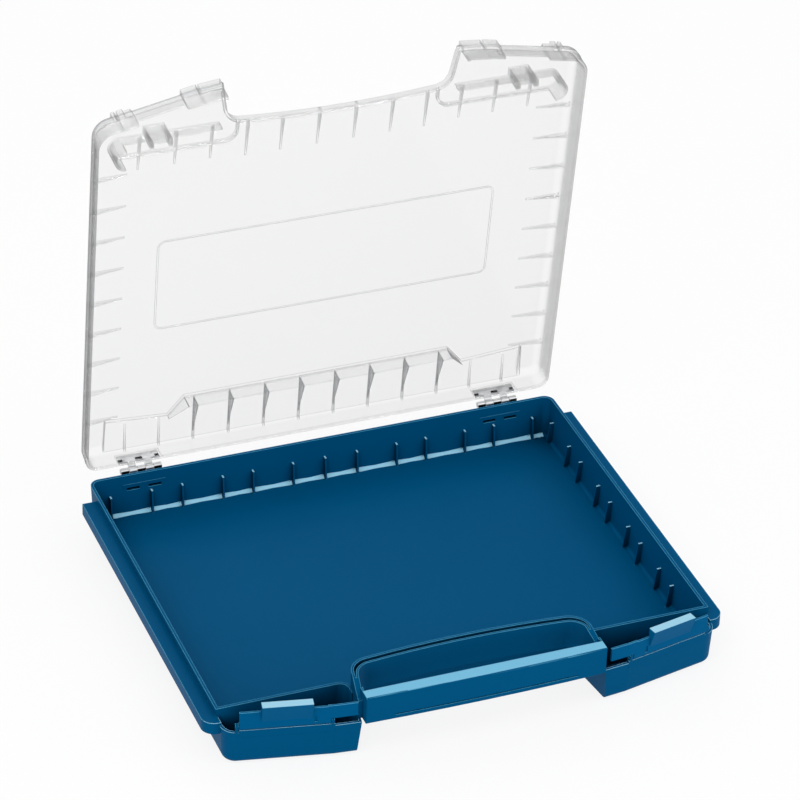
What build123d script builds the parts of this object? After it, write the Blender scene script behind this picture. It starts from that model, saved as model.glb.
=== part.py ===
from build123d import *
import math
import os

os.makedirs("parts", exist_ok=True)

# Driving sizes, in millimetres. X is across, Y goes to the back, Z is up from the resting face.
rim_width = 348.0
back_y = 148.0
rim_z = 34.3
wall = 2.0
floor = 2.7
pocket_y = -122.5
kink_x = 103.0
kink_y = -155.5
inner_slant = 6.6
outer_slant = 11.8
draft = 3.0
ledge_z = 26.0
sill_z = 27.6
arch_z = 47.0
arch_wall = 1.8
grip_half = 84.0
grip_front = -160.5
grip_back = -148.0
rail_reach = 9.5
rail_top = 28.4
rail_height = 8.7
rib_pitch = 52.4
rib_z = 19.8
lid_top = 52.8
lid_wall = 1.8
lid_inset = 1.0
lid_overhang = 0.9
overhang_z = 43.7
bar_inset = 2.9
bar_z = 41.5
end_y = -153.0
end_lean = 2.6
grip_slope = 4.4
open_angle = 83.1
pin_radius = 1.5
hinge_x = 134.0
hinge_width = 30.0
sheet = 0.9
barrel_radius = 2.4
trunnion = 1.0

# Clearances between pieces
parting = 0.3
arch_gap = 0.8
lid_gap = 0.4
pin_gap = 0.05
press_gap = 0.02
end_gap = 0.4
turn_gap = 0.1

# Sizes that follow from the ones above
half = rim_width / 2
pin_y = back_y + 4.6
pin_z = rim_z - 0.9
knuckle = pin_radius + sheet
lug_x = hinge_width / 2 - 7.0
lug_half = hinge_width * 0.15
lid_z = rim_z + parting
slope_in = math.tan(math.radians(inner_slant))
slope_out = math.tan(math.radians(outer_slant))
corner_y = kink_y + (half - kink_x) * slope_out


def at(x, y, z):
    return Location((x, y, z))


def block(x0, x1, y0, y1, z0, z1):
    # a box given by its two corners
    size = Box(x1 - x0, y1 - y0, z1 - z0)
    return at((x0 + x1) / 2, (y0 + y1) / 2, (z0 + z1) / 2) * size


def both(shape):
    # the shape and its mirror image on the other side
    return shape + mirror(shape, Plane.YZ)


def face_of(points):
    return make_face(Polyline(*points, close=True))


def round_at(face, points, radius):
    for x, y in points:
        corner = face.vertices().sort_by_distance((x, y, 0))[0]
        face = fillet(corner, radius)
    return face


def prism(face, z0, z1):
    return extrude(Location((0, 0, z0)) * face, amount=z1 - z0)


def leaning(face, lean, z0, z1):
    # an upright form whose foot is wider by the lean
    foot = offset(face, amount=lean, kind=Kind.INTERSECTION).faces()[0]
    return loft([at(0, 0, z0) * foot, at(0, 0, z1) * face.faces()[0]], ruled=True)


def case_plan(inset):
    # plan of the whole case: straight back and sides, two slanted front edges
    shift = inset / math.cos(math.radians(outer_slant))
    side = half - inset
    rear = back_y - inset
    front = corner_y + shift - inset * slope_out
    kink = kink_y + shift
    nose = kink - kink_x * slope_in
    points = [(-side, rear), (-side, front), (-kink_x, kink), (0, nose)]
    points += [(kink_x, kink), (side, front), (side, rear)]
    face = face_of(points)
    face = round_at(face, [(side, rear), (-side, rear)], 7.5 - inset)
    return round_at(face, [(side, front), (-side, front)], 11.0 - inset)


def arch_plan(crown, reach, spread, radius):
    # the region in front of an arched line, running on past the front of the case
    shoulder = crown - reach * reach / 1460
    far = -185.0
    end = reach + (shoulder - far) * spread
    sides = Polyline((reach, shoulder), (end, far), (-end, far), (-reach, shoulder))
    arc = ThreePointArc((-reach, shoulder), (0, crown), (reach, shoulder))
    face = make_face([arc, sides])
    return round_at(face, [(reach, shoulder), (-reach, shoulder)], radius)


tray_arch = arch_plan(-115.2, grip_half - arch_wall, 0.137, 15.0)
front_arch = offset(tray_arch, amount=-arch_wall, kind=Kind.INTERSECTION)
finger_arch = arch_plan(-121.6, grip_half - 3 * arch_wall, 0.165, 12.0)
finger_wall = offset(finger_arch, amount=1.6, kind=Kind.INTERSECTION)


def arch_stand():
    # the form left standing in the tray round the arch, with a drafted foot
    return leaning(tray_arch, end_lean, 0, ledge_z) + prism(tray_arch, ledge_z, 60)


def arch_room():
    # the open space in front of the arch
    drop = 1.0
    foot = leaning(front_arch, end_lean * (ledge_z + drop) / ledge_z, -drop, ledge_z)
    return foot + prism(front_arch, ledge_z, 61)


def shell_body():
    # drafted outside with a rounded bottom edge
    lean = rim_z * math.tan(math.radians(draft))
    body = extrude(case_plan(lean), amount=rim_z, taper=-draft)
    bottom = body.faces().sort_by(Axis.Z)[0]
    return fillet(bottom.edges(), 4.5)


def tray_hollow():
    # the drafted space inside the tray, in front of which stand the pocket wall and the arch
    lean = (rim_z - floor) * math.tan(math.radians(draft))
    hollow = extrude(at(0, 0, floor) * case_plan(wall + lean), amount=rim_z - floor + 1, taper=-draft)
    under = hollow.faces().sort_by(Axis.Z)[0]
    return fillet(under.edges(), 2.5)


def pocket_walls():
    # the wall between tray and latch pocket, rounded forward where it meets the arch
    bend = 8.0
    bend_x = grip_half + bend - 1.0
    low = pocket_y - bend
    straight = block(bend_x, half, pocket_y - wall, pocket_y, 0, rim_z)
    ring = Cylinder(bend, 50) - Cylinder(bend - wall, 60)
    turn = (at(bend_x, low, 20) * ring) & block(bend_x - bend, bend_x, low, pocket_y, 0, rim_z)
    foot = block(bend_x - bend, bend_x - bend + wall, low - 6, low, 0, rim_z)
    return both(straight + turn + foot)


def rails():
    outer = half + rail_reach
    low = rail_top - rail_height
    face = face_of([(half - 1.4, 131), (outer, 131), (outer, -131.5), (half - 1.4, -131.5)])
    face = round_at(face, [(outer, -131.5)], 9.0)
    rail = prism(face, low, rail_top)
    inner = offset(face, amount=-wall, kind=Kind.INTERSECTION)
    core = prism(inner, low - 1, rail_top - wall) & block(half + 0.2, outer, -140, 140, 0, 40)
    for step in range(-2, 3):
        core -= block(half - 4, outer, step * rib_pitch - 0.8, step * rib_pitch + 0.8, 0, 40)
    return both(rail - core)


def rib(length_low, length_high, height):
    # a thin upright rib along +X from the origin, thinner towards its top
    profile = face_of([(0, 0), (length_low, 0), (length_high, height), (0, height)])
    return extrude(Rot(90, 0, 0) * profile, amount=0.6, both=True)


def wall_ribs():
    fin = rib(6.0, 4.0, rib_z - floor + 0.2)
    ribs = []
    places = [0.0]
    for step in range(3):
        for side in (-15.0, 15.0):
            places += [39.1 + step * rib_pitch + side, -39.1 - step * rib_pitch - side]
    inside = half - wall - 6.0
    for x in [place for place in places if abs(place) < inside]:
        ribs.append(at(x, back_y - wall + 0.3, floor - 0.2) * Rot(0, 0, -90) * fin)
    for step in range(5):
        for side in (-10.5, 10.5):
            y = 143.6 - step * rib_pitch + side
            if y < 140:
                ribs.append(at(half - wall + 0.3, y, floor - 0.2) * Rot(0, 0, 180) * fin)
                ribs.append(at(-half + wall - 0.3, y, floor - 0.2) * fin)
    return ribs


def grip():
    # the handle bar: bowed front, bright flat top, chamfered back, cored from below
    front = grip_front
    bow = ThreePointArc((-grip_half, front), (0, front - 1.5), (grip_half, front))
    rest = Polyline((grip_half, front), (grip_half, grip_back), (-grip_half, grip_back), (-grip_half, front))
    bar = prism(make_face([bow, rest]), ledge_z, arch_z)
    break_y = grip_back - grip_slope
    low = [(grip_back + 1, arch_z - 4.0), (grip_back + 1, arch_z + 1)]
    slope = face_of(low + [(break_y, arch_z + 1), (break_y, arch_z)])
    bar -= extrude(Plane.YZ * slope, amount=grip_half + 1, both=True)
    top_edges = bar.edges().filter_by(GeomType.CIRCLE).group_by(Axis.Z)
    bar = fillet([top_edges[0][0], top_edges[-1][0]], 1.2)
    core = block(-grip_half + wall, grip_half - wall, front + wall, grip_back - wall, ledge_z - 1, arch_z - 4)
    for step in range(-2, 3):
        core -= block(step * 28 - 0.8, step * 28 + 0.8, -170, -140, 0, 60)
    bar -= core
    plan = make_face([bow, rest])
    groove = prism(plan, 29.6, 30.5) - prism(offset(plan, amount=-0.6, kind=Kind.INTERSECTION), 29, 31)
    return bar - (groove & block(20 - grip_half, grip_half - 20, -170, front + 1, 29, 31))


def grip_ends():
    # short solid ends that join the bar to the arch walls
    inner = prism(finger_arch, ledge_z, arch_z)
    outer = prism(tray_arch, ledge_z, arch_z)
    zone = both(block(grip_half - 14, grip_half + 11, end_y, -136, ledge_z, arch_z))
    return ((outer - inner) & zone) - end_slopes()


def end_slopes():
    # the tops of the arch walls run down towards the front, clear of the lid
    slope = face_of([(-133, arch_z), (-133, 60), (-175, 60), (-175, 40.0), (-150, 40.0)])
    tops = both(at(grip_half - 4, 0, 0) * extrude(Plane.YZ * slope, amount=12, both=True))
    return tops - block(-grip_half, grip_half, -175, grip_back, 0, 60)


def arch_walls():
    # two thin walls round the finger opening with a web between them, open from below
    reach = grip_half + 11
    back = (arch_stand() - arch_room()) & block(-reach - 5, reach + 5, -200, -100, 0.8, arch_z)
    front = prism(finger_wall, ledge_z, arch_z) - prism(finger_arch, 0, arch_z + 1)
    web = prism(front_arch, 30.0, 32.0) - prism(finger_arch, 29, 33)
    walls = back + front + web
    upper = walls & block(-reach, reach, end_y, -100, ledge_z, 60)
    lower = walls & shell_body() & block(-reach, reach, -200, -100, 0, ledge_z)
    front_cut = both(block(grip_half - 24, reach, -170, grip_back - 3, ledge_z, 60))
    upper -= front_cut & prism(finger_wall, 0, 60)
    return lower + (upper - end_slopes())


# Latches lie along the slanted front. Their own frame has x outwards along the
# slant from the kink, y towards the case and z up.
def slant_length(x):
    # distance along the slant from the kink to a place across the case
    return (x - kink_x) / math.cos(math.radians(outer_slant))


slant = Location((kink_x, kink_y, 0), (0, 0, outer_slant))
pivot_y = 1.5
pivot_z = sill_z + 0.4 + barrel_radius
barrel_start = 3.2
tab_start = kink_x + 15.0
tab_end = half - 23.5
notch_start = tab_start - 5.5
notch_end = tab_end - 4.7
barrel_end = slant_length(half - 9.7)


def along(radius, x0, x1, y, z):
    # a round bar along x
    rod = Cylinder(radius, x1 - x0, rotation=(0, 90, 0))
    return at((x0 + x1) / 2, y, z) * rod


def ear(x0, x1):
    # holds one end of the latch barrel
    post = block(x0, x1, 0.4, pivot_y + 2.2, floor + 8, pivot_z)
    head = along(barrel_radius - 0.3, x0, x1, pivot_y, pivot_z)
    hole = along(trunnion + turn_gap, x0 - 1, x1 + 1, pivot_y, pivot_z)
    return post + head - hole


def ears():
    pair = ear(barrel_start - 2.4, barrel_start - end_gap) + ear(barrel_end + end_gap, barrel_end + 2.4)
    inside = shell_body() + block(-half, half, -200, 0, ledge_z, 60)
    return both(slant * pair) & inside


def shoulder_tops():
    # the front wall under each latch stands a little higher than the ledges beside it
    strip = slant * block(barrel_start - 3, barrel_end, 0.4, wall, ledge_z - 4, sill_z)
    return both(strip)


def hinge_seats():
    # flat pads on the back wall for the hinge leaves
    outer = hinge_width / 2 + 2
    outside = block(hinge_x - outer, hinge_x + outer, back_y - 3, back_y, 9, rim_z - 3.5)
    return both(outside + hinge_pad(1.0, 0.4))


def hinge_pad(depth, sunk):
    # the raised patch inside the back wall, where the hinge's lugs come through
    reach = hinge_width / 2 + 0.5
    return block(hinge_x - reach, hinge_x + reach, back_y - wall - depth, back_y - wall + sunk, floor, 27)


def hinge_slots():
    cut = Part()
    for side in (-lug_x, lug_x):
        x = hinge_x + side
        cut += block(x - lug_half - 0.2, x + lug_half + 0.2, back_y - 8, back_y + 1, 22.0, 24.2)
    return both(cut)


def base_tray():
    body = shell_body() + hinge_seats()
    body -= tray_hollow() - arch_stand() - pocket_walls()
    low_front = block(-half - 1, half + 1, -200, pocket_y - wall, ledge_z, rim_z + 1)
    body -= low_front - pocket_walls()
    body -= arch_room()
    body += shoulder_tops()
    body += arch_walls()
    body += grip_ends()
    body += grip()
    body += ears()
    body += both(hinge_pad(0.6, 0.6))
    for fin in wall_ribs():
        body += fin
    body += rails()
    groove = block(kink_x - 0.5, kink_x + 0.5, kink_y - 1, kink_y + 0.7, 4.5, 23)
    body -= both(groove)
    return body - hinge_slots()


# The lid is drawn closed and turned open about the hinge pin at the end.
def lid_outside():
    # the front skirt stands back behind the latch wings and comes forward above them
    body = extrude(at(0, 0, lid_z) * case_plan_lid(0.0, -lid_overhang), amount=lid_top - lid_z, taper=3.5)
    body = fillet(body.faces().sort_by(Axis.Z)[-1].edges(), 6.0)
    body += lid_blocks()
    behind = prism(case_plan_lid(0.0, lid_inset), 0, 60)
    body -= block(-half, half, -200, -110, lid_z - 1, overhang_z) - behind
    x0 = slant_length(notch_start)
    x1 = slant_length(tab_end + 1.0)
    body -= both(slant * block(x0, x1, -8, 30, overhang_z - 1, lid_top + 1)) - behind
    lip = prism(case_plan_lid(0.0, lid_inset), lid_z, lid_z + 3.0)
    return body + lip


def lid_blocks():
    # the blocks beside each latch place have sharp upper edges and stand out of the rounded panel
    ring = prism(case_plan_lid(0.0, -lid_overhang), lid_z, lid_top - 0.3)
    ring -= prism(case_plan_lid(0.0, lid_inset + lid_wall), 0, 60)
    zones = block(grip_half + 0.6, notch_start - 0.5, -200, -110, 0, 60)
    zones += block(notch_end + 0.2, half - 14.5, -200, -110, 0, 60)
    return ring & both(zones)


def case_plan_lid(inset, back_off):
    # like the case, but the front stands back to leave room for the latches
    side = half - inset
    rear = back_y - inset
    shift = (inset + back_off) / math.cos(math.radians(outer_slant))
    front = corner_y + shift - inset * slope_out
    kink = kink_y + shift
    nose = kink - kink_x * slope_in
    points = [(-side, rear), (-side, front), (-kink_x, kink), (0, nose)]
    points += [(kink_x, kink), (side, front), (side, rear)]
    face = face_of(points)
    face = round_at(face, [(side, rear), (-side, rear)], 9.0 - inset * 0.8)
    return round_at(face, [(side, front), (-side, front)], 14.0 - inset * 0.8)


lid_arch = offset(finger_arch, amount=-0.3, kind=Kind.INTERSECTION)
lid_finger = offset(finger_arch, amount=lid_wall - 0.3, kind=Kind.INTERSECTION)
arch_clear = offset(tray_arch, amount=arch_gap, kind=Kind.INTERSECTION)
strip_end = half - 18.0
rear_step = [(-strip_end, 28), (24 - hinge_x, 24.5), (35.5 - hinge_x, 39)]
rear_step += [(hinge_x - 35.5, 39), (hinge_x - 24, 24.5), (strip_end, 28)]


def step_zone(grow, z0):
    # the low strip of the panel along the hinges
    points = [(-strip_end - grow, -9)]
    for u, v in rear_step:
        points.append((u, v + grow))
    points.append((strip_end + grow, -9))
    face = face_of([(x, back_y - v) for x, v in points])
    return prism(face, z0, lid_top + 2)


def lid_hollow():
    top = lid_top - lid_wall
    plan = case_plan_lid(lid_wall, lid_inset)
    room = extrude(at(0, 0, lid_z - 1) * plan, amount=top - lid_z + 1, taper=3.5)
    room = fillet(room.faces().sort_by(Axis.Z)[-1].edges(), 4.5)
    room -= step_zone(lid_wall, top - 2.6)
    room -= prism(lid_finger, lid_z - 2, lid_top)
    return room - lid_partitions()


def lid_partitions():
    # two low walls over the front wall of the tray, joined by a round end in the corner
    post_x = half - 21.0
    ridge_x = grip_half - 4.0
    ridge_z = 47.8
    walls = block(grip_half, post_x, -124.6, -123.2, 43.5, lid_top)
    walls += block(ridge_x, post_x, -110.0, -108.6, ridge_z, lid_top)
    post = at(post_x, -116.6, lid_z + 10.2) * (Cylinder(8.0, 20) - Cylinder(6.6, 30))
    walls += post & block(post_x, post_x + 9, -130, -100, 0, lid_top)
    bend = at(ridge_x, -118.0, lid_top - 3) * (Cylinder(9.4, 12) - Cylinder(8.0, 30))
    walls += bend & block(ridge_x - 10, ridge_x, -118, -108, ridge_z, lid_top)
    walls += block(ridge_x - 9.4, ridge_x - 8.0, -127, -118, ridge_z, lid_top)
    return both(walls)


def fin_at(x, y, angle, length, height):
    # a stiffening fin under the panel, tall at the wall and running out to nothing
    top = lid_top - lid_wall + 0.4
    profile = face_of([(0, 0), (length, 0), (length, -0.8), (0, -height)])
    plate = extrude(Rot(90, 0, 0) * profile, amount=0.6, both=True)
    return at(x, y, top) * Rot(0, 0, angle) * plate


def lid_fins():
    fins = []
    low = 2.4
    for x in (13.1, 39.3, 65.5, 91.7):
        fins.append(at(0, 0, -low) * fin_at(x, back_y - 1.5, -90, 38.5, 3.6))
    for x in (hinge_x - 17.0, hinge_x + 8.0):
        fins.append(at(0, 0, -low) * fin_at(x, back_y - 1.5, -90, 24, 3.6))
    for step in range(9):
        y = back_y - 31.5 - step * rib_pitch / 2
        fins.append(fin_at(half - 2.2, y, 180, 25, 5.0))
    for x in (13.1, 39.3, 64.0):
        fins.append(fin_at(x, pocket_y - 0.5, 90, 29.5, 4.5))
    for x in (grip_half + 5.0, half - 60.0, half - 34.5):
        fins.append(fin_at(x, pocket_y - 0.9, 90, 27.5, 4.5))
    return [both(fin) for fin in fins]


def lid_bar_cut():
    # room for the pull tab of the latch and its notch in the front skirt
    x0 = slant_length(notch_start)
    x1 = slant_length(notch_end)
    recess = slant * block(x0, x1, -6, bar_inset, lid_z - 2, lid_top + 1)
    notch = slant * block(x0, x1, -6, bar_inset + 6, lid_z - 2, bar_z)
    return both(recess + notch)


def lid_bar():
    # the bar the latch closes on, and the box behind it
    x0 = slant_length(notch_start)
    x1 = slant_length(notch_end)
    bar = slant * block(x0 - 1, x1 + 1, bar_inset, bar_inset + lid_wall, bar_z, lid_top - 2)
    return both(bar + lid_stop())


def lid_stop():
    # an open box under the panel that dips into the latch pocket when the lid is shut
    x0 = half - 51.5
    x1 = half - 37.0
    thick = 1.4
    box = block(x0, x1, -131.0, -123.4, lid_z + 0.4, lid_top - 1)
    box += block(x0, x1, -131.0, -126.2, 31.5, lid_z + 1.4)
    return box - block(x0 + thick, x1 - thick, -131.0 + thick, -120.0, 30, lid_top - lid_wall)


def lid_slits():
    # upright slits that part the front skirt into blocks
    cut = Part()
    for x in (kink_x - 2.4, half - 17.6):
        front = kink_y + (x - kink_x) * slope_out
        cut += block(x - 0.7, x + 0.7, front - 3, front + lid_inset + 1.1, lid_z - 1, lid_top + 1)
    return both(cut)


def frame_line():
    # plain rounded frame cut lightly into the panel
    outer = RectangleRounded(245, 76.5, 6)
    inner = RectangleRounded(242.6, 74.1, 4.8)
    place = at(0, back_y - 140.25, lid_top - 0.4)
    return place * extrude(outer - inner, amount=1)


def lid_shell():
    lid = lid_outside()
    lid -= step_zone(0.0, lid_top - 2.6)
    lid -= lid_hollow()
    lid -= prism(lid_arch, lid_z - 2, lid_top + 1)
    lid -= lid_bar_cut()
    lid += lid_bar()
    for fin in lid_fins():
        lid += fin
    lid -= lid_slits()
    near = grip_half + 0.5
    wide = grip_half + 11
    lid -= block(-near, near, -190, grip_back + 4, 0, arch_z + lid_gap)
    lid -= both(block(grip_half, grip_half + 4.8, end_y - arch_gap, grip_back + 4, 0, arch_z + lid_gap))
    lid -= prism(arch_clear, 0, arch_z + lid_gap) & block(-wide, wide, end_y - arch_gap, -100, 0, 60)
    lid += both(block(near + 0.1, near + 0.1 + lid_wall, -156.6, end_y - arch_gap, lid_z, lid_top - 3))
    lid -= frame_line()
    beside = hinge_width / 2 + 1
    flat = block(hinge_x - beside, hinge_x + beside, back_y - 2.2, back_y, lid_z, pin_z + 12)
    lid += both(flat)
    return lid


# Hinges: stamped leaves rolled round a pin
def leaf_profile(up):
    # side view of a leaf from its free end to the knuckle; up is 1 for the lid, -1 for the base
    y0 = back_y
    y1 = back_y + sheet
    far = pin_z + up * (11.3 if up > 0 else 19.0)
    bend = pin_z + up * 4.6
    turn = pin_z + up * 1.6
    reach = pin_y - knuckle
    points = [(y0, far), (y0, bend), (reach + 0.1, turn), (reach + 1.0, turn)]
    points += [(y1, bend + up * 0.5), (y1, far)]
    return face_of(points)


def knuckle_spans(up):
    step = hinge_width / 5
    gap = 0.2
    spans = []
    for index in range(5):
        if (index % 2 == 0) == (up < 0):
            start = -hinge_width / 2 + index * step
            spans.append((start + gap, start + step - gap))
    return spans


def hinge_leaf(up):
    profile = Plane.YZ * leaf_profile(up)
    leaf = extrude(profile, amount=hinge_width / 2, both=True)
    bend = pin_z + up * 4.6
    low = min(bend, pin_z - up * 4)
    high = max(bend, pin_z - up * 4)
    keep = Part()
    bore = pin_radius + (pin_gap if up > 0 else press_gap)
    for x0, x1 in knuckle_spans(up):
        keep += block(x0, x1, back_y - 1, pin_y + 9, low, high)
        leaf += along(knuckle, x0, x1, pin_y, pin_z)
    strip = block(-hinge_width, hinge_width, back_y - 1, pin_y + 9, low, high)
    leaf -= strip - keep
    return leaf - along(bore, -hinge_width, hinge_width, pin_y, pin_z)


def base_leaf():
    leaf = hinge_leaf(-1)
    for side in (-lug_x, lug_x):
        leaf += block(side - lug_half, side + lug_half, back_y - wall + 0.6, back_y + 0.4, 22.2, 22.2 + sheet)
    return leaf


def lid_leaf():
    leaf = hinge_leaf(1)
    for side in (-13.6, 0, 13.6):
        leaf -= block(side - 1.9, side + 1.9, back_y - 1, back_y + 0.5, pin_z + 5.0, pin_z + 7.2)
    return leaf


def hinge_pin():
    return along(pin_radius, -hinge_width / 2, hinge_width / 2, pin_y, pin_z)


# Latches
def latch():
    # drawn in the slanted frame: a plate over a round barrel, with a pull tab in the middle
    x_wing = barrel_end
    tab0 = slant_length(tab_start)
    tab1 = slant_length(tab_end)
    back = 0.6
    front = pivot_y - barrel_radius
    wing_top = 42.6
    body = along(barrel_radius, barrel_start, barrel_end, pivot_y, pivot_z)
    body += block(barrel_start, x_wing, front, back, pivot_z, wing_top)
    body += block(tab0, tab1, front, back, pivot_z, 49.0)
    wedge = face_of([(back, 34.5), (front, 34.5), (front - 4.6, 48.2), (front - 4.6, 49.0), (back, 49.0)])
    body += at((tab0 + tab1) / 2, 0, 0) * extrude(Plane.YZ * wedge, amount=(tab1 - tab0) / 2, both=True)
    body += along(trunnion, barrel_start - 2.2, barrel_end + 2.2, pivot_y, pivot_z)
    inner = face_of(wing_plan(front, back))
    body += prism(inner, pivot_z + barrel_radius + 0.4, wing_top + 0.6)
    slot = block(tab0 - 3.0, tab0 - 1.4, front - 1, front + 0.6, 31.5, 36.0)
    return body - slot


def wing_plan(front, back):
    # the inner wing follows the flatter part of the case front
    turn = math.radians(outer_slant - inner_slant)
    reach = grip_half + 4.6 - kink_x
    bend = reach * math.tan(turn)
    points = [(barrel_start + 2, front), (0, front), (reach, front - bend * 1.0)]
    points += [(reach, back - bend * 1.0), (0, back), (barrel_start + 2, back)]
    return points


opened = Location((0, pin_y, pin_z)) * Rot(-open_angle, 0, 0) * Location((0, -pin_y, -pin_z))

right_latch = slant * latch()
nodes = {
    "base_tray": base_tray(),
    "lid_shell": opened * lid_shell(),
    "right_latch": right_latch,
    "left_latch": mirror(right_latch, Plane.YZ),
}
for name, x in (("left", -hinge_x), ("right", hinge_x)):
    nodes[name + "_hinge_base_leaf"] = at(x, 0, 0) * base_leaf()
    nodes[name + "_hinge_lid_leaf"] = opened * at(x, 0, 0) * lid_leaf()
    nodes[name + "_hinge_pin"] = at(x, 0, 0) * hinge_pin()

for name, shape in nodes.items():
    export_step(shape, "parts/" + name + ".step")
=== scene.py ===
import math

import bpy
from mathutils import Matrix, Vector


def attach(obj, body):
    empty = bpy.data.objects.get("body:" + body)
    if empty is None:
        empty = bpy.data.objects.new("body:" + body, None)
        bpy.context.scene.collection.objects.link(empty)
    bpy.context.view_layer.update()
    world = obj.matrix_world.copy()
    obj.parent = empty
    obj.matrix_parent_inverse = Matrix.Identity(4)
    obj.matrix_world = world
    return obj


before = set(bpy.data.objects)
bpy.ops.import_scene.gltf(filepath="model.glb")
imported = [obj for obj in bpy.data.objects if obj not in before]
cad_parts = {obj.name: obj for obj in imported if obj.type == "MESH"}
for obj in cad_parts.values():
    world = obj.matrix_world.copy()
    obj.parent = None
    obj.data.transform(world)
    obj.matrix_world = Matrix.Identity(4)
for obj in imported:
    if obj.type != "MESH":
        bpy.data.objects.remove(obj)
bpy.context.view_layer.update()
scene = bpy.context.scene

MM = 0.001
WHITE = (1.0, 1.0, 1.0, 1.0)
EYE_RAYS = ("Is Camera Ray", "Is Transmission Ray", "Is Glossy Ray")

# Colours, linear
BLUE = (0.0, 0.078, 0.194)
BLUE_LATCH = (0.0, 0.090, 0.225)
BLUE_SHINE = (0.0, 0.45, 1.0, 1.0)
# Painted highlights: pale colours laid on the handle top, the tab top, thin lines and outer edges
# where light would catch them
HANDLE_PAINTED_HIGHLIGHT = (0.18, 0.48, 0.68)
TAB_PAINTED_HIGHLIGHT = (0.33, 0.61, 0.77)
PAINTED_HIGHLIGHT_LINE = (0.34, 0.68, 0.86)
PAINTED_EDGE_HIGHLIGHT = (0.10, 0.40, 0.58)
CLEAR_TINT = (0.9, 0.9, 0.9, 1.0)
CLEAR_DEPTH = (0.40, 0.42, 0.44, 1.0)
# Painted shade: near black laid on the hinge leaves where holes, slots and the gap under the
# knuckles lie in shade
PAINTED_SHADE_DARK = (0.012, 0.012, 0.013)
STEEL = (0.74, 0.75, 0.76)
PIN_STEEL = (0.5, 0.5, 0.52)
PAPER = (0.93, 0.93, 0.93, 1.0)
SKY = (0.95, 0.97, 1.0, 1.0)

# How much light a clear wall lets through, from facing the eye (0) to edge on (1)
LID_GREYS = [(0.10, 0.985), (0.25, 0.965), (0.50, 0.84), (0.70, 0.64), (1.0, 0.30)]
RIDGE_GREYS = [(0.10, 0.99), (0.50, 0.97), (0.80, 0.93), (1.0, 0.50)]
LID_LINE = 0.62
RIDGE_LINE = 0.66

# Sizes in millimetres. The lid turns about the pin, and its own sizes are those of the closed lid.
PIN_Y = 152.6
PIN_Z = 33.4
OPEN_ANGLE = math.radians(83.1)
BACK_Y = 148.0
HINGE_X = 134.0
RIB_PITCH = 52.4
RIDGE_HALF = 98.5
RIDGE_END = 110.0
RIDGE_Y = BACK_Y - 38.7
RIDGE_END_Y = BACK_Y - 24.6
RIDGE_FOOT_Z = 49.6
RIDGE_FREE_Z = 39.2
RIDGE_END_Z = 46.4
RIDGE_THICK = 1.0
FIN_THICK = 0.7
FIN_START = 0.6
FIN_TIP_Y = BACK_Y - 8.5
FIN_TIP_DROP = 1.4
FLOOR_DROP = 0.4
FLOOR_SIZE = 30.0
AIM_Z = 50.0


# Node helpers

def link(tree, a, out, b, inp):
    tree.links.new(a.outputs[out], b.inputs[inp])


def node_of(tree, kind, **values):
    # a node with its plain inputs set by name
    node = tree.nodes.new(kind)
    for key, value in values.items():
        node.inputs[key.replace("_", " ")].default_value = value
    return node


def times(tree, a, b):
    # the product of a node's number with another node's or with a plain one
    node = tree.nodes.new("ShaderNodeMath")
    node.operation = "MULTIPLY"
    tree.links.new(a.outputs[0], node.inputs[0])
    if isinstance(b, float):
        node.inputs[1].default_value = b
    else:
        tree.links.new(b.outputs[0], node.inputs[1])
    return node


def vector_step(tree, kind):
    node = tree.nodes.new("ShaderNodeVectorMath")
    node.operation = kind
    return node


def new_tree(owner):
    owner.use_nodes = True
    owner.node_tree.nodes.clear()
    return owner.node_tree


def new_material(name):
    mat = bpy.data.materials.new(name)
    tree = new_tree(mat)
    return mat, tree, tree.nodes.new("ShaderNodeOutputMaterial")


def ranged(tree, source, output, low, high, to_low, to_high):
    # carries a number from one range to another, and stops at its ends
    node = node_of(
        tree, "ShaderNodeMapRange", From_Min=low, From_Max=high, To_Min=to_low, To_Max=to_high
    )
    link(tree, source, output, node, "Value")
    return node


def noise(tree, coord, scale):
    node = node_of(tree, "ShaderNodeTexNoise", Scale=scale, Detail=2.0)
    link(tree, coord, "Object", node, "Vector")
    return node


def ramp(tree, source, output, stops):
    node = tree.nodes.new("ShaderNodeValToRGB")
    elements = node.color_ramp.elements
    while len(elements) < len(stops):
        elements.new(0.5)
    for element, (position, colour) in zip(elements, stops):
        element.position = position
        element.color = (*colour, 1.0)
    link(tree, source, output, node, "Fac")
    return node


def local_openness(tree, reach, samples):
    # how open a place is to the air, counting only its own piece
    air = node_of(tree, "ShaderNodeAmbientOcclusion", Distance=reach)
    air.samples = samples
    air.only_local = True
    return air


def any_ray(tree, kinds):
    # 1 for a ray of any of the named kinds
    path = tree.nodes.new("ShaderNodeLightPath")
    total = None
    for kind in kinds:
        step = tree.nodes.new("ShaderNodeMath")
        step.operation = "MAXIMUM"
        link(tree, path, kind, step, 0)
        if total is not None:
            link(tree, total, 0, step, 1)
        total = step
    return total


def mixed(tree, share, output, a, b):
    # the first shader where the share is 0 and the second where it is 1
    mix = tree.nodes.new("ShaderNodeMixShader")
    link(tree, share, output, mix, "Fac")
    tree.links.new(a.outputs[0], mix.inputs[1])
    tree.links.new(b.outputs[0], mix.inputs[2])
    return mix


def split_of(tree, source, output):
    split = tree.nodes.new("ShaderNodeSeparateXYZ")
    link(tree, source, output, split, "Vector")
    return split


def zone(tree, split, limits):
    # 1 inside the named ranges of a vector's parts
    mask = None
    for axis, low, high in limits:
        for limit, kind in ((low, "GREATER_THAN"), (high, "LESS_THAN")):
            test = tree.nodes.new("ShaderNodeMath")
            test.operation = kind
            test.inputs[1].default_value = limit
            link(tree, split, axis, test, 0)
            mask = test if mask is None else times(tree, mask, test)
    return mask


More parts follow.
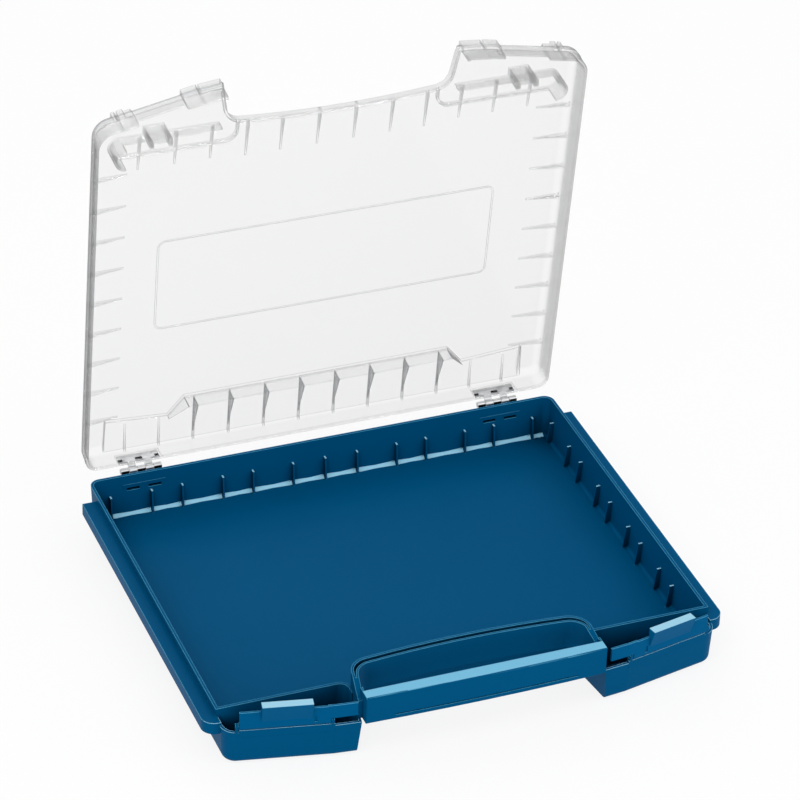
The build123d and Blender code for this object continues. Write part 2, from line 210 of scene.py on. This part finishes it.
def tint(tree, base, output, colour, mask):
    # lays a colour over another where the mask is 1; its own colour comes out of output 2
    mix = tree.nodes.new("ShaderNodeMix")
    mix.data_type = "RGBA"
    mix.inputs[7].default_value = (*colour, 1.0)
    tree.links.new(mask.outputs[0], mix.inputs[0])
    tree.links.new(base.outputs[output], mix.inputs[6])
    return mix


def edge_bend(tree, radius):
    # the softened normal, and 1 where it leaves the flat one, as it does along an edge
    bevel = node_of(tree, "ShaderNodeBevel", Radius=radius)
    bevel.samples = 6
    flat = tree.nodes.new("ShaderNodeNewGeometry")
    likeness = vector_step(tree, "DOT_PRODUCT")
    link(tree, bevel, "Normal", likeness, 0)
    link(tree, flat, "True Normal", likeness, 1)
    return bevel, ranged(tree, likeness, "Value", 0.995, 0.90, 0.0, 1.0)


def outer_edges(tree, radius, reach):
    # 1 on outer edges that look upwards
    bevel, bend = edge_bend(tree, radius)
    upward = ranged(tree, split_of(tree, bevel, "Normal"), "Z", 0.15, 0.5, 0.0, 1.0)
    outer = ranged(tree, local_openness(tree, reach, 6), "AO", 0.62, 0.85, 0.0, 1.0)
    return times(tree, times(tree, bend, upward), outer)


# Places on the pieces with painted highlights or painted shade, by position at rest

def span(axis, low, high):
    # a range along one axis, given in millimetres
    return axis, low * MM, high * MM


# How far a face looks upwards: a flat top, and the rounding between floor and back wall
FLAT_TOP = ("Z", 0.9, 1.1)
ROUNDING = ("Z", 0.2, 0.985)

HANDLE_TOP = [span("Z", 46.9, 48.0), span("Y", -163.0, -152.4), span("X", -83.9, 83.9)]
TAB_TOP = [span("Z", 48.9, 50.0)]
RIB_TOP = [span("Z", 19.4, 20.1), span("Y", -120.0, 147.0), span("X", -173.0, 173.0)]
# painted highlight line on the rounding between the floor and the back wall
FLOOR_ROUNDING = [span("Z", 2.6, 6.0), span("Y", 140.0, 145.0), span("X", -168.0, 168.0)]
FRONT_EDGES = [span("Z", 24.0, 29.0), span("Y", -175.0, -126.0)]
# Painted highlights: each place with its pale colour, its zone and how far its faces look upwards
TRAY_PAINTED_HIGHLIGHTS = [
    (HANDLE_PAINTED_HIGHLIGHT, HANDLE_TOP, FLAT_TOP),
    (PAINTED_HIGHLIGHT_LINE, RIB_TOP, FLAT_TOP),
    (PAINTED_HIGHLIGHT_LINE, FLOOR_ROUNDING, ROUNDING),
]
TAB_PAINTED_HIGHLIGHTS = [(TAB_PAINTED_HIGHLIGHT, TAB_TOP, FLAT_TOP)]

# Three patches of painted shade on each lid leaf where holes would lie dark: shift from the
# hinge's middle and half width
LEAF_HOLE_PAINTED_SHADE = [
    [span("X", HINGE_X + shift - reach, HINGE_X + shift + reach), span("Y", 156.8, 159.4)]
    for shift, reach in ((-13.3, 1.6), (0.0, 2.6), (13.3, 1.6))
]
# Painted shade on the lugs in the wall's slots and under the knuckles
BASE_LEAF_SHADE = [
    [span("Y", 140.0, 147.9), span("Z", 20.0, 26.0)],
    [span("Y", 147.9, 150.6), span("Z", 30.6, 36.0)],
]


# Materials

def plastic(name, base, highlight_zones, painted_highlight_edges=None):
    # satin moulded plastic: fine grain, painted shade in the hollows, painted highlights on outer
    # edges and in pale zones
    grain_scale = 1800.0
    cloud_scale = 9.0
    cloud_depth = 0.07
    hollow_reach = 45 * MM
    edge_radius = 0.7 * MM
    edge_reach = 3 * MM
    mat, tree, out = new_material(name)
    bsdf = node_of(tree, "ShaderNodeBsdfPrincipled", Roughness=0.38, IOR=1.46)
    bsdf.inputs["Specular IOR Level"].default_value = 0.02
    bsdf.inputs["Specular Tint"].default_value = BLUE_SHINE
    coord = tree.nodes.new("ShaderNodeTexCoord")
    bump = node_of(tree, "ShaderNodeBump", Strength=0.06, Distance=0.4 * MM)
    link(tree, noise(tree, coord, grain_scale), "Fac", bump, "Height")
    link(tree, bump, "Normal", bsdf, "Normal")
    darker = [part * (1 - cloud_depth) for part in base]
    lighter = [part * (1 + cloud_depth) for part in base]
    cloud = ramp(tree, noise(tree, coord, cloud_scale), "Fac", [(0.0, darker), (1.0, lighter)])
    # painted shade: the colour grows darker in hollows, by how open each place is
    painted_hollow_shade = ranged(tree, local_openness(tree, hollow_reach, 8), "AO", 0.25, 0.52, 0.25, 1.0)
    shade = vector_step(tree, "SCALE")
    link(tree, cloud, "Color", shade, 0)
    link(tree, painted_hollow_shade, "Result", shade, "Scale")
    # painted highlight: a pale colour on outer edges that look upwards
    edges = outer_edges(tree, edge_radius, edge_reach)
    colour = tint(tree, shade, "Vector", PAINTED_EDGE_HIGHLIGHT, edges)
    place = split_of(tree, coord, "Object")
    faces = split_of(tree, tree.nodes.new("ShaderNodeNewGeometry"), "True Normal")
    # painted highlights: a pale colour laid on each listed place
    for painted_highlight, limits, upward in highlight_zones:
        mask = times(tree, zone(tree, place, limits), zone(tree, faces, [upward]))
        colour = tint(tree, colour, 2, painted_highlight, mask)
    # painted highlight lines along the outer edges at the front
    if painted_highlight_edges:
        mask = times(tree, zone(tree, place, painted_highlight_edges), edges)
        colour = tint(tree, colour, 2, PAINTED_HIGHLIGHT_LINE, mask)
    link(tree, colour, 2, bsdf, "Base Color")
    link(tree, bsdf, "BSDF", out, "Surface")
    return mat


def clear_plastic(name, greys, line):
    # clear moulding: most light goes straight through, walls seen edge on and edges grow grey
    haze_scale = 30.0
    edge_radius = 0.5 * MM
    straight_share = 0.78
    mat, tree, out = new_material(name)
    bsdf = node_of(tree, "ShaderNodeBsdfPrincipled", IOR=1.25)
    bsdf.inputs["Base Color"].default_value = CLEAR_TINT
    bsdf.inputs["Transmission Weight"].default_value = 1.0
    bsdf.inputs["Specular IOR Level"].default_value = 0.2
    coord = tree.nodes.new("ShaderNodeTexCoord")
    rough = ranged(tree, noise(tree, coord, haze_scale), "Fac", 0.3, 0.7, 0.04, 0.08)
    link(tree, rough, "Result", bsdf, "Roughness")
    facing = node_of(tree, "ShaderNodeLayerWeight", Blend=0.5)
    stops = [(position, (grey, grey, grey)) for position, grey in greys]
    bend = edge_bend(tree, edge_radius)[1]
    lines = ranged(tree, bend, "Result", 0.0, 1.0, 1.0, line)
    grey = vector_step(tree, "SCALE")
    link(tree, ramp(tree, facing, "Facing", stops), "Color", grey, 0)
    link(tree, lines, "Result", grey, "Scale")
    through = tree.nodes.new("ShaderNodeBsdfTransparent")
    link(tree, grey, "Vector", through, "Color")
    path = tree.nodes.new("ShaderNodeLightPath")
    straight = ranged(tree, path, "Is Shadow Ray", 0.0, 1.0, straight_share, 1.0)
    link(tree, mixed(tree, straight, "Result", bsdf, through), "Shader", out, "Surface")
    volume = node_of(tree, "ShaderNodeVolumeAbsorption", Density=10.0, Color=CLEAR_DEPTH)
    link(tree, volume, "Volume", out, "Volume")
    return mat


def steel(name, base, rough, painted_shade_zones):
    # bright plated sheet, with painted shade in the same zones on the left and the right
    cloud_scale = 220.0
    cloud_depth = 0.2
    mat, tree, out = new_material(name)
    bsdf = node_of(tree, "ShaderNodeBsdfPrincipled", Metallic=1.0, Roughness=rough)
    coord = tree.nodes.new("ShaderNodeTexCoord")
    darker = [part * (1 - cloud_depth) for part in base]
    colour = ramp(tree, noise(tree, coord, cloud_scale), "Fac", [(0.0, darker), (1.0, base)])
    output = "Color"
    folded = vector_step(tree, "ABSOLUTE")
    link(tree, coord, "Object", folded, 0)
    place = split_of(tree, folded, "Vector")
    # painted shade laid over each zone
    for limits in painted_shade_zones:
        colour = tint(tree, colour, output, PAINTED_SHADE_DARK, zone(tree, place, limits))
        output = 2
    link(tree, colour, output, bsdf, "Base Color")
    link(tree, bsdf, "BSDF", out, "Surface")
    return mat


base_mat = plastic("blue_case", BLUE, TRAY_PAINTED_HIGHLIGHTS, FRONT_EDGES)
latch_mat = plastic("blue_latch", BLUE_LATCH, TAB_PAINTED_HIGHLIGHTS)
clear_mat = clear_plastic("clear_lid", LID_GREYS, LID_LINE)
ridge_mat = clear_plastic("clear_ridge", RIDGE_GREYS, RIDGE_LINE)
lid_leaf_mat = steel("lid_leaf_steel", STEEL, 0.3, LEAF_HOLE_PAINTED_SHADE)
base_leaf_mat = steel("base_leaf_steel", STEEL, 0.3, BASE_LEAF_SHADE)
pin_mat = steel("pin_steel", PIN_STEEL, 0.35, [])


def material_for(name):
    if name == "base_tray":
        return base_mat
    if name == "lid_shell":
        return clear_mat
    if name.endswith("latch"):
        return latch_mat
    if name.endswith("pin"):
        return pin_mat
    return lid_leaf_mat if name.endswith("lid_leaf") else base_leaf_mat


for name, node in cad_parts.items():
    node.data.materials.clear()
    node.data.materials.append(material_for(name))


# Ridge and fins inside the lid's rear edge

def opened(x, y, z):
    # a point of the closed lid, in millimetres, where it is on the open lid, in metres
    reach = PIN_Y - y
    rise = z - PIN_Z
    y_open = PIN_Y - math.cos(OPEN_ANGLE) * reach + math.sin(OPEN_ANGLE) * rise
    z_open = PIN_Z + math.sin(OPEN_ANGLE) * reach + math.cos(OPEN_ANGLE) * rise
    return (x * MM, y_open * MM, z_open * MM)


def add_plate(verts, faces, corners, across):
    # a flat plate: its corners, moved half of the way across to each side
    start = len(verts)
    count = len(corners)
    for side in (-0.5, 0.5):
        verts.extend(opened(x + side * across[0], y + side * across[1], z) for x, y, z in corners)
    first = [start + i for i in range(count)]
    second = [start + count + i for i in range(count)]
    faces.append(first[::-1])
    faces.append(second)
    for i in range(count):
        j = (i + 1) % count
        faces.append([first[i], first[j], second[j], second[i]])


def ridge_wall():
    # the long wall, from the panel down to its free edge
    foot = [(-RIDGE_HALF, RIDGE_Y, RIDGE_FOOT_Z), (RIDGE_HALF, RIDGE_Y, RIDGE_FOOT_Z)]
    return foot + [(RIDGE_HALF, RIDGE_Y, RIDGE_FREE_Z), (-RIDGE_HALF, RIDGE_Y, RIDGE_FREE_Z)]


def ridge_end(side):
    # the slanted end, which runs down to the low strip beside the hinge
    inner = side * RIDGE_HALF
    outer = side * RIDGE_END
    foot = [(inner, RIDGE_Y, RIDGE_FOOT_Z), (outer, RIDGE_END_Y, RIDGE_FOOT_Z)]
    return foot + [(outer, RIDGE_END_Y, RIDGE_END_Z), (inner, RIDGE_Y, RIDGE_FREE_Z)]


def ridge_fin(x):
    # a fin that is tall at the ridge and runs out towards the hinges
    y = RIDGE_Y + FIN_START
    tip = (x, FIN_TIP_Y, RIDGE_FOOT_Z - FIN_TIP_DROP)
    return [(x, y, RIDGE_FREE_Z + FIN_START), (x, y, RIDGE_FOOT_Z), tip]


def lid_ridge():
    verts = []
    faces = []
    add_plate(verts, faces, ridge_wall(), (0.0, RIDGE_THICK))
    for side in (-1, 1):
        across = (side * RIDGE_THICK * 0.78, RIDGE_THICK * 0.62)
        add_plate(verts, faces, ridge_end(side), across)
        for step in (0.25, 0.75, 1.25, 1.75):
            add_plate(verts, faces, ridge_fin(side * step * RIB_PITCH), (FIN_THICK, 0.0))
    mesh = bpy.data.meshes.new("lid_ridge")
    mesh.from_pydata(verts, [], faces)
    mesh.update()
    ridge = bpy.data.objects.new("lid_ridge", mesh)
    scene.collection.objects.link(ridge)
    ridge.data.materials.append(ridge_mat)
    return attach(ridge, "lid")


lid_ridge()


# Surroundings

def floor_material():
    # mostly plain white to the eye, so that only a soft shadow is left; clear from below
    white_share = 0.85
    mat, tree, out = new_material("pale_floor")
    paper = node_of(tree, "ShaderNodeBsdfDiffuse", Color=PAPER)
    own = node_of(tree, "ShaderNodeEmission", Color=WHITE, Strength=1.0)
    share = times(tree, any_ray(tree, EYE_RAYS), white_share)
    lit = mixed(tree, share, 0, paper, own)
    side = tree.nodes.new("ShaderNodeNewGeometry")
    clear = tree.nodes.new("ShaderNodeBsdfTransparent")
    link(tree, mixed(tree, side, "Backfacing", lit, clear), "Shader", out, "Surface")
    return mat


def studio_world():
    # white surroundings to the eye, soft grey light for the rest
    world = bpy.data.worlds.new("studio")
    tree = new_tree(world)
    out = tree.nodes.new("ShaderNodeOutputWorld")
    white = node_of(tree, "ShaderNodeBackground", Color=WHITE, Strength=1.0)
    soft = node_of(tree, "ShaderNodeBackground", Color=SKY, Strength=0.36)
    link(tree, mixed(tree, any_ray(tree, EYE_RAYS), 0, soft, white), "Shader", out, "Surface")
    return world


def lamp(name, place, size, power):
    # a square soft box that looks at the case
    light = bpy.data.lights.new(name, "AREA")
    light.shape = "SQUARE"
    light.size = size
    light.energy = power
    holder = bpy.data.objects.new(name, light)
    scene.collection.objects.link(holder)
    holder.location = place
    aim = Vector((0.0, 0.0, AIM_Z * MM)) - Vector(place)
    holder.rotation_euler = aim.to_track_quat("-Z", "Y").to_euler()


def photo_camera():
    # its place and lens were found from the straight lines in the photograph
    lens = bpy.data.cameras.new("camera")
    lens.sensor_width = 36.0
    lens.lens = 185.126
    lens.clip_start = 0.1
    lens.clip_end = 60.0
    camera = bpy.data.objects.new("camera", lens)
    scene.collection.objects.link(camera)
    camera.location = (-0.86496, -2.10566, 1.65547)
    camera.rotation_euler = (0.988637, -0.031233, -0.367879)
    return camera


bpy.ops.mesh.primitive_plane_add(size=FLOOR_SIZE, location=(0.0, 0.0, -FLOOR_DROP * MM))
floor = bpy.context.object
floor.name = "floor"
floor.data.materials.append(floor_material())

scene.world = studio_world()
lamp("key", (-1.1, -0.8, 1.8), 1.2, 10.5)
lamp("front", (-0.6, -2.6, 0.9), 1.4, 10.5)
lamp("fill", (1.6, -0.9, 1.2), 1.4, 8.0)
lamp("back", (0.2, 1.9, 1.6), 1.4, 7.0)
scene.camera = photo_camera()
scene.view_settings.view_transform = "Standard"
